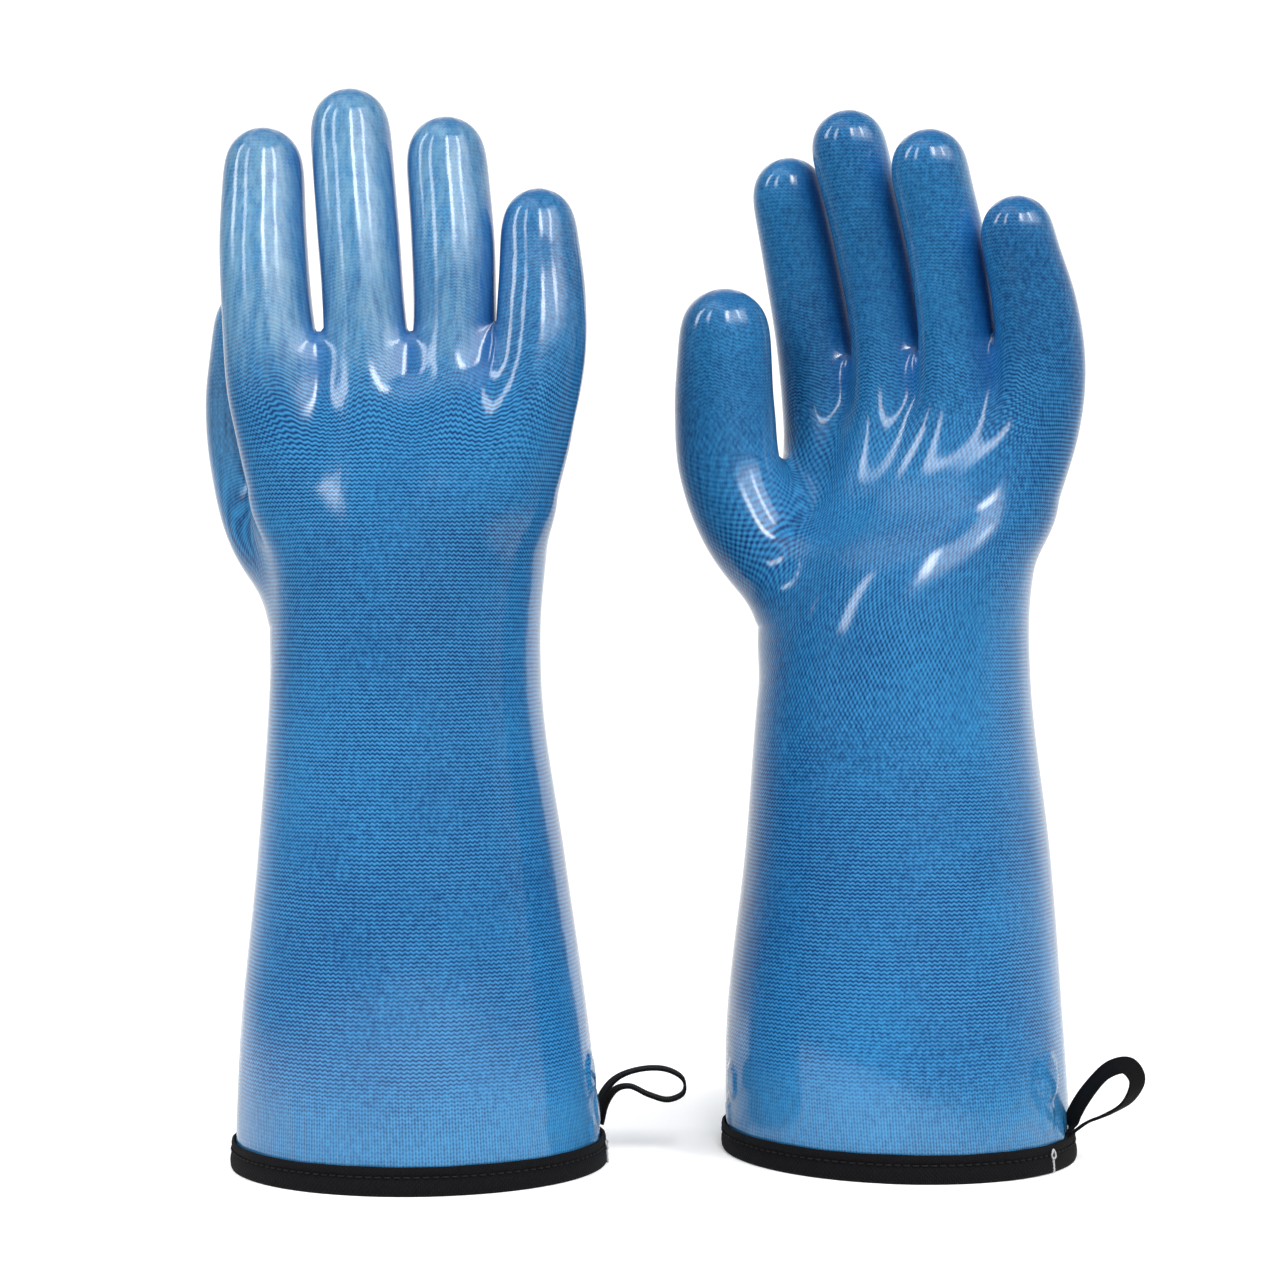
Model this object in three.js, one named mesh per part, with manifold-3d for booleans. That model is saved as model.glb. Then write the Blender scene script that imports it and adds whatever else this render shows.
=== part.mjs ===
// A pair of long cryogenic gloves standing on their cuffs: silicone-coated knit shell, thermal lining,
// bound cuff edge and hang loop on each. Millimetres, +Z up, origin on the ground between the gloves.
import * as THREE from 'three';
import { mergeVertices } from 'three/addons/utils/BufferGeometryUtils.js';
import Module from 'manifold-3d';

const wasm = await Module();
wasm.setup();

// Walls
const SHELL_WALL = 2.0; // knit with its silicone coating
const LINING_WALL = 3.0; // thermal lining inside the shell
const GAP = 0.3; // clearance between neighbouring pieces
const LINING_OUT = SHELL_WALL + GAP;
const LINING_IN = LINING_OUT + LINING_WALL;

// Cuff binding, its stitching and the bar tack at its overlap
const BINDING_THICK = 1.2;
const BINDING_HIGH = 10;
const BINDING_BULGE = 0.6; // how far a facet's corners stand outside its middle, with room to spare
const STITCH_HEIGHT = 6.6;
const STITCH_RADIUS = 0.4;
const BAR_TACK = { wide: 2.4, high: 7.5, thick: 0.8, angle: -8 };

// Hang loop tape
const TAPE = { wide: 7.5, thick: 1.1 };
const LOOP_TURN = { from: 2, to: 16 }; // outward distances between which the loop turns to its own heading

// Counts of sides, and of steps along the loop tape
const CUFF_SIDES = 24;
const DIGIT_SIDES = 12;
const WEB_SIDES = 10;
const STITCH_SIDES = 5;
const TAPE_STEPS = 20;

const CUT_PAST = 3; // how far a cutting solid runs past the open ends of what it cuts
const CREASE_SPARE = 2; // height that a soft band keeps however little it bends
const STATION_APART = 1; // no station lies closer than this to a cut end
const DOME_TURN = Math.PI / 4; // height of the one ring on a round tip, as an angle from its centre

// Wrist crease: the soft band that folds when the hand bends on the cuff
const WRIST = { z: 179, bend: 20 };

// Cuff, forearm and palm, bottom to top: height, centre x, centre y, half width, half depth and
// turn in degrees
const FOREARM = [[0, 3, 1.5, 65, 59.5, 0], [44, 1.6, 2, 62, 60, 0], [108, 0.2, -1.2, 54.3, 56.5, 0],
  [171, -1.8, -2, 47.8, 51, 0], [193, -1.5, -3, 47.3, 48.5, -2], [215, -1, -7.5, 48.5, 42.5, -8],
  [236, -2, -15.5, 51.5, 31, -12], [258, -2, -19, 53, 20, -13], [274, -2, -21, 46, 12, -13]];

// Each digit from its root in the palm to its tip: height, centre x, centre y, radius.
// The last station is the centre of the round tip. The digit bends at the height "knuckle".
const DIGITS = {
  thumb: {
    stations: [[190, -17.5, 9, 27.5], [217, -39, 22, 24.5], [246, -52.5, 31.5, 19.5],
      [270, -55.5, 32.5, 18.6], [298, -54.5, 33.5, 17]],
    knuckle: 274,
    bend: 40,
  },
  index: {
    stations: [[238, -34, -9, 22], [270, -46, -13, 17.5], [296, -49.5, -11, 16],
      [325, -51.5, -5.5, 15.3], [352, -51.7, 2.6, 14.2]],
    knuckle: 320,
    bend: 50,
  },
  middle: {
    stations: [[238, -10, -14, 21], [270, -14, -16, 16.5], [296, -16, -14.6, 14.5],
      [330, -18.5, -8.5, 14.4], [366, -21.3, 2, 14.3]],
    knuckle: 322,
    bend: 50,
  },
  ring: {
    stations: [[238, 10, -18, 21], [268, 14.8, -19.5, 16.5], [294, 15.2, -17.5, 14.6],
      [325, 14.6, -12.5, 14.6], [355.5, 12.5, -4.5, 14.3]],
    knuckle: 319,
    bend: 50,
  },
  little: {
    stations: [[236, 27, -25, 21], [262, 38.5, -30.5, 17.5], [282, 43.5, -29.5, 16.2],
      [306, 45, -24.5, 15.2], [330, 44.5, -15.5, 13.4]],
    knuckle: 305,
    bend: 50,
  },
};

// Webs between neighbouring fingers: the two digits, height of the centre line, depth y, radius
const WEBS = [['index', 'middle', 283, -15, 10], ['middle', 'ring', 283, -18, 10],
  ['ring', 'little', 270, -26, 9.5]];

// The two gloves as they stand: yaw in degrees and place. Each hang loop is sewn at an angle round the
// cuff, heads another way, and follows a teardrop given as [outward, upward] from the binding's top edge.
const GLOVES = [
  {
    name: 'right',
    mirrored: false,
    yaw: 5,
    x: -90.1,
    y: -14.8,
    loop: {
      angle: 10,
      heading: -5,
      path: [[1.05, 0.9], [2.3, 9], [7.5, 16.5], [15.5, 20.3], [26, 20.6], [32.3, 17], [32.5, 12.2],
        [27, 9.6], [20, 11.4], [13, 14.4], [8.2, 13.2], [4.6, 8.5], [2.45, 0.9]],
    },
  },
  {
    name: 'left',
    mirrored: true,
    yaw: -48,
    x: 83.6,
    y: 13.4,
    loop: {
      angle: -26,
      heading: -13,
      path: [[1.05, 0.9], [3.2, 8], [8.8, 17], [17, 25], [24, 26.8], [27.6, 22.3], [24.2, 14.6],
        [16, 9], [8, 5.2], [2.45, 0.9]],
    },
  },
];

const COLOURS = {
  shell: { color: 0x2f7fc6, roughness: 0.22, metalness: 0 },
  lining: { color: 0xe4e2da, roughness: 0.95, metalness: 0 },
  crease: { color: 0x3a8bd0, roughness: 0.25, metalness: 0 },
  tape: { color: 0x14151a, roughness: 0.8, metalness: 0 },
  thread: { color: 0x2a2b30, roughness: 0.7, metalness: 0 },
  tack: { color: 0x9a9a9c, roughness: 0.7, metalness: 0 },
};

const radians = THREE.MathUtils.degToRad;
const UP = new THREE.Vector3(0, 0, 1);

// Height of a soft band round radius r that lets the solids either side of it tilt by an angle
function creaseHeight(r, degrees) {
  return 2 * r * Math.tan(radians(degrees) / 2) + CREASE_SPARE;
}

// A station at any height, by straight interpolation in a table whose rows start with the height
function at(table, z) {
  const above = Math.max(1, table.findIndex((row) => row[0] >= z));
  const low = table[above - 1];
  const high = table[above];
  const t = (z - low[0]) / (high[0] - low[0]);
  return low.map((value, i) => value + (high[i] - value) * t);
}

// The stations of a table between two heights, ends included
function between(table, from, to) {
  const inside = table.filter((row) => row[0] > from + STATION_APART && row[0] < to - STATION_APART);
  return [at(table, from), ...inside, at(table, to)];
}

// A closed elliptical ring of points round (x, y) at height z, turned in its plane
function ring(z, x, y, a, b, sides, degrees = 0) {
  const centre = new THREE.Vector3(x, y, z);
  return Array.from({ length: sides }, (_, i) => {
    const turn = (2 * Math.PI * i) / sides;
    const point = new THREE.Vector3(a * Math.cos(turn), b * Math.sin(turn), 0);
    return point.applyAxisAngle(UP, radians(degrees)).add(centre);
  });
}

const cuffRing = ([z, x, y, a, b, turn], inset) => ring(z, x, y, a - inset, b - inset, CUFF_SIDES, turn);
const digitRing = ([z, x, y, r], inset) => ring(z, x, y, r - inset, r - inset, DIGIT_SIDES);

// A closed skin over a row of rings. An end ring of several points is capped; looped joins last to first.
function skin(rings, looped = false) {
  const points = [];
  const triangles = [];
  const starts = rings.map((loop) => {
    const start = points.length;
    points.push(...loop);
    return start;
  });
  const join = (i, j) => {
    const n = Math.max(rings[i].length, rings[j].length);
    for (let k = 0; k < n; k += 1) {
      const next = (k + 1) % n;
      const a = starts[i] + (rings[i].length > 1 ? k : 0);
      const b = starts[i] + (rings[i].length > 1 ? next : 0);
      const c = starts[j] + (rings[j].length > 1 ? next : 0);
      const d = starts[j] + (rings[j].length > 1 ? k : 0);
      if (a !== b) triangles.push([a, b, c]);
      if (c !== d) triangles.push([a, c, d]);
    }
  };
  for (let i = 0; i + 1 < rings.length; i += 1) join(i, i + 1);
  if (looped) {
    join(rings.length - 1, 0);
  } else {
    const cap = (ring, flip) => {
      const first = starts[ring];
      for (let k = first + 1; k + 1 < first + rings[ring].length; k += 1) {
        triangles.push(flip ? [first, k + 1, k] : [first, k, k + 1]);
      }
    };
    cap(0, true);
    cap(rings.length - 1, false);
  }
  return facingOut(points.flatMap((p) => [p.x, p.y, p.z]), triangles.flat());
}

// An indexed geometry whose faces point out
function facingOut(positions, index) {
  let volume = 0;
  const point = (i) => new THREE.Vector3(...positions.slice(3 * i, 3 * i + 3));
  for (let i = 0; i < index.length; i += 3) {
    volume += point(index[i]).dot(point(index[i + 1]).cross(point(index[i + 2])));
  }
  const faces = volume > 0 ? index : index.slice().reverse();
  const geometry = new THREE.BufferGeometry();
  geometry.setAttribute('position', new THREE.Float32BufferAttribute(positions, 3));
  geometry.setIndex(faces);
  return geometry;
}

function toSolid(geometry) {
  const plain = geometry.clone();
  plain.deleteAttribute('normal');
  plain.deleteAttribute('uv');
  const merged = mergeVertices(plain, 1e-5);
  return new wasm.Manifold(new wasm.Mesh({
    numProp: 3,
    vertProperties: new Float32Array(merged.attributes.position.array),
    triVerts: new Uint32Array(merged.index.array),
  }));
}

function fromSolid(solid) {
  const mesh = solid.getMesh();
  return facingOut(Array.from(mesh.vertProperties), Array.from(mesh.triVerts));
}

// A tube with a wall, open at both ends, round part of a table
function sleeve(table, ringOf, from, to, outer, inner) {
  const rows = between(table, from, to);
  const outside = rows.map((row) => ringOf(row, outer));
  const inside = rows.map((row) => ringOf(row, inner)).reverse();
  return skin([...outside, ...inside], true);
}

// Rings of a round digit tip above its last station
function domeRings([z, x, y, r], inset) {
  const radius = r - inset;
  const flank = radius * Math.cos(DOME_TURN);
  const side = ring(z + radius * Math.sin(DOME_TURN), x, y, flank, flank, DIGIT_SIDES);
  return [side, [new THREE.Vector3(x, y, z + radius)]];
}

// A thimble open at its base: one wall of a digit above its crease
function thimble(stations, from, outer, inner) {
  const rows = between(stations, from, stations.at(-1)[0]);
  const surface = (inset) => {
    const side = rows.map((row) => digitRing(row, inset));
    return [...side, ...domeRings(rows.at(-1), inset)];
  };
  return skin([...surface(inner).reverse(), ...surface(outer)]);
}

// Height where a digit's crease starts and ends
function creaseSpan(digit) {
  const half = creaseHeight(at(digit.stations, digit.knuckle)[3], digit.bend) / 2;
  return [digit.knuckle - half, digit.knuckle + half];
}

function wristSpan() {
  const half = creaseHeight(at(FOREARM, WRIST.z)[4], WRIST.bend) / 2;
  return [WRIST.z - half, WRIST.z + half];
}

// The solid bounded by the hand's outer surface moved in by an inset, from the wrist to each digit's
// crease. Past pushes its open ends out, so that an inner solid cuts right through an outer one.
function handSolid(inset, past) {
  const bottom = wristSpan()[1] + GAP - past;
  const palm = between(FOREARM, bottom, FOREARM.at(-1)[0] - inset).map((row) => cuffRing(row, inset));
  let solid = toSolid(skin(palm));
  for (const digit of Object.values(DIGITS)) {
    const start = Math.max(bottom, digit.stations[0][0]);
    const top = creaseSpan(digit)[0] - GAP + past;
    const root = between(digit.stations, start, top).map((row) => digitRing(row, inset));
    solid = solid.add(toSolid(skin(root)));
  }
  return inset > 0 ? solid : addWebs(solid);
}

// Fills the crotch between neighbouring fingers with a round bar from one ray's middle to the next
function addWebs(solid) {
  let joined = solid;
  for (const [one, other, z, y, r] of WEBS) {
    const from = at(DIGITS[one].stations, z)[1];
    const to = at(DIGITS[other].stations, z)[1];
    const bar = new THREE.CylinderGeometry(r, r, to - from, WEB_SIDES).rotateZ(Math.PI / 2);
    joined = joined.add(toSolid(bar.translate((from + to) / 2, y, z)));
  }
  return joined;
}

function handWall(outer, inner) {
  return fromSolid(handSolid(outer, 0).subtract(handSolid(inner, CUT_PAST)));
}

// Cuff binding: tape folded round the bottom edge of shell and lining, as a channel
function binding() {
  const out = -GAP - BINDING_THICK;
  const back = LINING_IN + GAP;
  const far = back + BINDING_THICK;
  const profile = [[out, 0], [out, BINDING_HIGH], [-GAP, BINDING_HIGH], [-GAP, BINDING_THICK],
    [back, BINDING_THICK], [back, BINDING_HIGH], [far, BINDING_HIGH], [far, 0]];
  return skin(profile.map(([inset, z]) => cuffRing(at(FOREARM, z), inset)), true);
}

// Place on the outside of the cuff: angle in degrees, height, and distance out from the shell
function cuffPoint(degrees, z, out) {
  const [, x, y, a, b] = at(FOREARM, z);
  const turn = radians(degrees);
  const facet = Math.cos(Math.PI / CUFF_SIDES);
  const across = (a * facet + out) * Math.cos(turn);
  const deep = (b * facet + out) * Math.sin(turn);
  return new THREE.Vector3(x + across, y + deep, z);
}

// Line of binding thread round the cuff, broken where the bar tack crosses the binding
function bindingStitch() {
  const step = 360 / CUFF_SIDES;
  const first = BAR_TACK.angle + step / 2;
  const out = GAP + BINDING_THICK + GAP + STITCH_RADIUS + BINDING_BULGE;
  const rings = Array.from({ length: CUFF_SIDES }, (_, i) => {
    const angle = first + i * step;
    const middle = cuffPoint(angle, STITCH_HEIGHT, out);
    const outward = new THREE.Vector3(Math.cos(radians(angle)), Math.sin(radians(angle)), 0);
    return Array.from({ length: STITCH_SIDES }, (__, k) => {
      const turn = (2 * Math.PI * k) / STITCH_SIDES;
      const point = middle.clone().addScaledVector(outward, STITCH_RADIUS * Math.cos(turn));
      point.z += STITCH_RADIUS * Math.sin(turn);
      return point;
    });
  });
  return skin(rings);
}

// Bar tack: a short block of dense zigzag thread across the binding's overlap
function barTack() {
  const block = new THREE.BoxGeometry(BAR_TACK.thick, BAR_TACK.wide, BAR_TACK.high);
  const out = GAP + BINDING_THICK + GAP + BAR_TACK.thick / 2 + BINDING_BULGE;
  const place = cuffPoint(BAR_TACK.angle, BINDING_HIGH / 2, out);
  return block.rotateZ(radians(BAR_TACK.angle)).translate(place.x, place.y, place.z);
}

// Hang loop: flat tape along the teardrop path, its width level. It leaves the cuff square to the edge
// and turns to its own heading as it goes out.
function hangLoop({ angle, heading, path }) {
  const root = cuffPoint(angle, BINDING_HIGH, 0);
  const points = path.map(([outward, upward]) => new THREE.Vector3(outward, 0, upward));
  const line = new THREE.CatmullRomCurve3(points, false, 'centripetal');
  const rings = Array.from({ length: TAPE_STEPS + 1 }, (_, i) => {
    const place = line.getPoint(i / TAPE_STEPS);
    const along = line.getTangent(i / TAPE_STEPS);
    const face = new THREE.Vector3(along.z, 0, -along.x);
    const turned = THREE.MathUtils.smoothstep(place.x, LOOP_TURN.from, LOOP_TURN.to);
    const way = radians(THREE.MathUtils.lerp(angle, heading, turned));
    const outward = new THREE.Vector3(Math.cos(way), Math.sin(way), 0);
    const across = new THREE.Vector3(-Math.sin(way), Math.cos(way), 0);
    return [[1, 1], [-1, 1], [-1, -1], [1, -1]].map(([side, level]) => {
      const flat = place.clone().addScaledVector(face, (level * TAPE.thick) / 2);
      return root.clone().addScaledVector(outward, flat.x).addScaledVector(across, (side * TAPE.wide) / 2)
        .add(new THREE.Vector3(0, 0, flat.z));
    });
  });
  return skin(rings);
}

// Every piece of one glove as [name, geometry, colour], in the right hand's own frame
function glovePieces(glove) {
  const [creaseLow, creaseHigh] = wristSpan();
  const floor = BINDING_THICK + GAP;
  const cuff = (from, to, outer, inner) => sleeve(FOREARM, cuffRing, from, to, outer, inner);
  const pieces = [
    ['cuff_shell', cuff(floor, creaseLow - GAP, 0, SHELL_WALL), 'shell'],
    ['cuff_lining', cuff(floor, creaseLow - GAP, LINING_OUT, LINING_IN), 'lining'],
    ['cuff_binding', binding(), 'tape'],
    ['binding_stitch', bindingStitch(), 'thread'],
    ['binding_bar_tack', barTack(), 'tack'],
    ['hang_loop', hangLoop(glove.loop), 'tape'],
    ['wrist_crease', cuff(creaseLow, creaseHigh, 0, LINING_IN), 'crease'],
    ['hand_shell', handWall(0, SHELL_WALL), 'shell'],
    ['hand_lining', handWall(LINING_OUT, LINING_IN), 'lining'],
  ];
  for (const [name, digit] of Object.entries(DIGITS)) {
    const [low, high] = creaseSpan(digit);
    pieces.push([`${name}_crease`, sleeve(digit.stations, digitRing, low, high, 0, LINING_IN), 'crease']);
    pieces.push([`${name}_shell`, thimble(digit.stations, high + GAP, 0, SHELL_WALL), 'shell']);
    pieces.push([`${name}_lining`, thimble(digit.stations, high + GAP, LINING_OUT, LINING_IN), 'lining']);
  }
  return pieces;
}

// A left-hand copy of a geometry: depth is mirrored, and the faces are turned to point out again
function mirrored(geometry) {
  const copy = geometry.clone().scale(1, -1, 1);
  return facingOut(Array.from(copy.attributes.position.array), Array.from(copy.index.array));
}

const pair = new THREE.Group();
for (const glove of GLOVES) {
  const group = new THREE.Group();
  group.rotation.z = radians(glove.yaw);
  group.position.set(glove.x, glove.y, 0);
  for (const [name, geometry, colour] of glovePieces(glove)) {
    const mesh = new THREE.Mesh(
      glove.mirrored ? mirrored(geometry) : geometry,
      new THREE.MeshStandardMaterial(COLOURS[colour]),
    );
    mesh.name = `${glove.name}_${name}`;
    group.add(mesh);
  }
  pair.add(group);
}

export default pair;
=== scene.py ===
"""A pair of long cryogenic gloves: clear silicone over a blue knit shell, fleece lining, black cuff
binding with its stitching and bar tack, and a hang loop on each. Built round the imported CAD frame.

Shapes are worked out in millimetres in the right hand's own frame (+X from thumb to little finger,
+Y to the palm, +Z to the fingertips) and are placed, mirrored for the left glove, in the row frame."""
import math

import bpy
import numpy as np
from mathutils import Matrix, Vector


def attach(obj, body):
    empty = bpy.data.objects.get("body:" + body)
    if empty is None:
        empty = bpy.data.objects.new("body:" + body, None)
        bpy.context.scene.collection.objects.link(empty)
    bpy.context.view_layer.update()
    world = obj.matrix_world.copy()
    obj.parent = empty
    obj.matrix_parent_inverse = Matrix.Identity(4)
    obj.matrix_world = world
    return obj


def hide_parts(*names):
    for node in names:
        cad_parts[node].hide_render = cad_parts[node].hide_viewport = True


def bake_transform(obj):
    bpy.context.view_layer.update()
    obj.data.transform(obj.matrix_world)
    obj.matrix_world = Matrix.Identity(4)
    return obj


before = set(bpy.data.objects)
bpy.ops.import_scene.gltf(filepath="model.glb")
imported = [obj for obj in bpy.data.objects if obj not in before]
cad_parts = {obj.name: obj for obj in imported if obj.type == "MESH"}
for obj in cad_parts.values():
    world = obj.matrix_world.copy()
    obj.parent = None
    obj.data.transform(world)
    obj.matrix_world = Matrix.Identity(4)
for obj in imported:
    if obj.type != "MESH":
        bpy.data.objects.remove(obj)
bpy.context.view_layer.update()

MM = 0.001
TAU = 2 * math.pi

# -------------------------------------------------------- camera
CAMERA = {"place": (-0.0091, -1.0168, 0.1956), "pitch": 0.01, "lens": 79.6, "sensor": 36.0,
          "clip": (0.01, 50)}

# -------------------------------------------------------- studio
ROOM = (0.11, 1.05)  # brightness of the room in front of the gloves and behind them
WALL_RISE = (0.3, 1.0)  # where it changes, as the part of a direction that points away from the camera
BACKDROP = 1.2  # brightness that the camera sees behind the gloves
# Soft-edged glows on the room's walls: azimuths from the camera's side to the right, and elevations, in
# degrees, each as where the glow starts, is full, starts to fade and ends; then its brightness.
GLOWS = {
    "finger_haze": ((-8, 10, 55, 95), (20, 34, 48, 58), 4.5),
    "finger_strip": ((0, 4, 9, 14), (26, 40, 48, 58), 17),
    "finger_strip_right": ((38, 42, 46, 51), (26, 40, 48, 58), 12),
    "palm_strip_left": ((-94, -89, -84, -78), (15, 26, 44, 54), 9),
    "palm_strip_right": ((-57, -52, -48, -43), (15, 26, 44, 54), 9),
    "overhead": ((-140, -90, -10, 20), (46, 60, 72, 86), 1.0),
    "right_wall": ((60, 105, 130, 165), (-30, -8, 18, 45), 0.5),
}
# name, place, point aimed at, size, power
LIGHTS = [
    ("key", (0.9, -1.5, 1.2), (0, 0, 0.2), (2.0, 1.4), 8.0),
    ("fill_left", (-1.4, -0.8, 0.6), (0, 0, 0.2), (1.0, 1.6), 10.5),
]
FLOOR_RADIUS = 0.85
FLOOR_FADE = (0.30, 0.80)
FLOOR_SIDES = 96
FLOOR_TONE = (0.93, 0.93, 0.93, 1)
FLOOR_GLOW = 0.3  # lightens the shadows
WHITE = (1, 1, 1, 1)

# -------------------------------------------------------- driving dimensions, as in the CAD (mm)
SHELL_WALL = 2.0
LINING = (2.4, 5.2)  # depths of the lining's outer and inner face
BINDING = {"out": 1.5, "high": 10.0, "back": 5.6}
BINDING_STEPS = 512
STITCHES = 128
STITCH_HEIGHT = 6.6
TACK_ANGLE = -8.0
LAP = {"rise": 0.35, "start": (0, 1.2), "end": (21, 22)}  # overlap of the tape, in degrees past the bar tack
TAPE = {"wide": 7.5, "thick": 1.1}
LOOP_TURN = (2.0, 16.0)  # distances out between which a loop turns to its heading
CUFF_ROUND = 390  # length round the cuff's edge
BASE = 1.5  # height where the shell's edge stands in the binding
WRIST_TOP = 206  # height where the cuff's skin meets the hand's
WRIST_BEND = (154, 204)

# -------------------------------------------------------- mesh
FINE, COARSE, HAND_LATTICE = 2.0, 4.0, 1.6  # mm between the points of a shell, of a lining and of the hand
HAND_LOW, HAND_HIGH = (-78.0, -56.0, WRIST_TOP - 4.0), (70.0, 58.0, 304.0)  # corners of the hand's lattice
HAND_EVENING = 20  # rounds of evening out the hand's normals
TIP_BLEND = 8.0  # how far the join of a finger's side and its round tip is evened out

# -------------------------------------------------------- shape
# height, centre x, centre y, half width, half depth, turn in degrees
FOREARM = [
    (0, 3, 1.5, 65, 59.5, 0), (44, 1.6, 2, 62, 60, 0), (108, 0.2, -1.2, 54.3, 56.5, 0),
    (171, -1.8, -2, 47.8, 51, 0), (193, -1.5, -3, 47.3, 48.5, -2), (215, -1, -7.5, 48.5, 42.5, -8),
    (236, -2, -15.5, 51.5, 31, -12), (258, -2, -19, 53, 20, -13), (274, -2, -21, 46, 12, -13),
]

# height, centre x, centre y, radius; the last station is the centre of the round tip
DIGITS = {
    "thumb": [(190, -17.5, 9, 27.5), (217, -39, 22, 24.5), (246, -52.5, 31.5, 19.5),
              (270, -55.5, 32.5, 18.6), (298, -54.5, 33.5, 17)],
    "index": [(238, -34, -9, 22), (270, -46, -13, 17.5), (296, -49.5, -11, 16),
              (325, -51.5, -5.5, 15.3), (352, -51.7, 2.6, 14.2)],
    "middle": [(238, -10, -14, 21), (270, -14, -16, 16.5), (296, -16, -14.6, 14.5),
               (330, -18.5, -8.5, 14.4), (366, -21.3, 2, 14.3)],
    "ring": [(238, 10, -18, 21), (268, 14.8, -19.5, 16.5), (294, 15.2, -17.5, 14.6),
             (325, 14.6, -12.5, 14.6), (355.5, 12.5, -4.5, 14.3)],
    "little": [(236, 27, -25, 21), (262, 38.5, -30.5, 17.5), (282, 43.5, -29.5, 16.2),
               (306, 45, -24.5, 15.2), (330, 44.5, -15.5, 13.4)],
}
FINGERS = ("index", "middle", "ring", "little")
# heights between which each digit bends; its skin starts at the lower one
BENDS = {"thumb": (253, 296), "index": (297, 343), "middle": (299, 345), "ring": (296, 342),
         "little": (296, 327)}
# one finger, the other, then the height, y and radius of the web between them
WEBS = [
    ("index", "middle", 283, -15, 10), ("middle", "ring", 283, -18, 10), ("ring", "little", 270, -26, 9.5),
    ("ring", "little", 286.5, -23, 7.5),  # closes the crease where these two shells touch
]
# how softly the surfaces run into each other: at the forearm's closed end, the fingers' roots, the thumb's
# root, and between the fingers, where it drops by "less" over the heights
SOFT = {"end": 10.0, "fingers": 9.0, "thumb": 12.0, "crease": 4.0, "less": 3.4, "heights": (276, 294)}
FURROW = {"deep": 1.3, "wide": 5.0, "start": (214, 236), "end": (268, 284)}
# Lobes of thick silicone just above the binding: angle round the cuff, height, half width, half height, rise
DRIPS = [
    (-13, 33, 6.5, 8, 0.9), (-9, 20, 5, 7, 0.8), (-17, 13, 4.5, 5, 0.7), (121, 27, 6, 7, 0.8),
    (127, 15, 5, 5, 0.8),
]

GLOVES = {
    "right": {
        "mirrored": False, "yaw": 5, "x": -90.1, "y": -14.8,
        "loop_angle": 10, "loop_heading": -5, "loop_twist": 0,
        "loop_path": [(1.05, 0.9), (2.3, 9), (7.5, 16.5), (15.5, 20.3), (26, 20.6), (32.3, 17), (32.5, 12.2),
                      (27, 9.6), (20, 11.4), (13, 14.4), (8.2, 13.2), (4.6, 8.5), (2.45, 0.9)],
    },
    "left": {
        "mirrored": True, "yaw": -48, "x": 83.6, "y": 13.4,
        "loop_angle": -26, "loop_heading": -13, "loop_twist": 50,
        "loop_path": [(1.05, 0.9), (3.2, 8), (8.8, 17), (17, 25), (24, 26.8), (27.6, 22.3), (24.2, 14.6),
                      (16, 9), (8, 5.2), (2.45, 0.9)],
    },
}

# -------------------------------------------------------- knit, tape, thread and fleece
WALES_ROUND = 190  # stitches round the forearm
WALES_DIGIT = 52  # stitches round a digit
COURSE = 1.42  # mm from one row of the knit to the next
# the knit's rows rise over each finger's root and dip at the webs
ARCH = {"high": 6.0, "wide": 9.0, "start": (242, 276), "end": (296, 330)}
# heights between which the zones of the knit's look, and of the painted shade between the fingers, start or
# end
ZONES = {"fingers": (262, 300), "thumb": (215, 262), "dots": (120, 170), "dots_end": (255, 285),
         "painted_crease_shade_heights": (262, 288), "ribs_end": (18, 42)}
PAINTED_HAZE_BY_DIGIT = {"thumb": 0.4, "index": 1.0, "middle": 0.95, "ring": 0.85, "little": 0.15}  # how strongly a pale reflection is painted on each digit's back
KNIT = {
    # of these colours, the pale whitish tint is a painted reflection
    "dark": (0.001, 0.032, 0.135, 1), "light": (0.029, 0.240, 0.515, 1), "painted_reflection": (0.22, 0.40, 0.52, 1),
    # the deep blue used between the fingers is painted shade
    "ribbed": (0.07, 0.25, 0.42, 1), "painted_crease_shade": (0.002, 0.085, 0.330, 1), "tip": (0.002, 0.060, 0.230, 1),
}
FLEECE = {"dark": (0.52, 0.51, 0.47, 1), "light": (0.86, 0.85, 0.81, 1)}
TAPE_TONE = 0.0045
THREAD_TONES = {"black": 0.008, "grey": 0.45}
# the binding's threads round the cuff, and points of its section to a thread
BINDING_THREADS = {"round": 520, "points": 1.2}
LOOP_THREADS = (0.6, 0.55)  # mm from one thread to the next, across and along


# -------------------------------------------------------- the glove's outer surface as a distance
def station(table, z):
    """Smooth values of a station table at the heights z. Past its ends the end values hold."""
    rows = np.array(table, float)
    heights = rows[:, 0]
    values = rows[:, 1:]
    slopes = np.gradient(values, heights, axis=0)
    i = np.clip(np.searchsorted(heights, z) - 1, 0, len(heights) - 2)
    span = heights[i + 1] - heights[i]
    t = np.clip((z - heights[i]) / span, 0, 1)[..., None]
    span = span[..., None]
    return ((2 * t**3 - 3 * t**2 + 1) * values[i] + (t**3 - 2 * t**2 + t) * span * slopes[i]
            + (-2 * t**3 + 3 * t**2) * values[i + 1] + (t**3 - t**2) * span * slopes[i + 1])


def smooth_min(a, b, k):
    h = np.clip(0.5 + 0.5 * (b - a) / k, 0, 1)
    return b * (1 - h) + a * h - k * h * (1 - h)


def ramp(x, low, high):
    t = np.clip((x - low) / (high - low), 0, 1)
    return t * t * (3 - 2 * t)


def in_section(p, c):
    """Points' places along the width and the depth of the forearm's turned section."""
    turn = np.radians(c[..., 4])
    x, y = p[..., 0] - c[..., 0], p[..., 1] - c[..., 1]
    return x * np.cos(turn) + y * np.sin(turn), y * np.cos(turn) - x * np.sin(turn)


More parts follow.
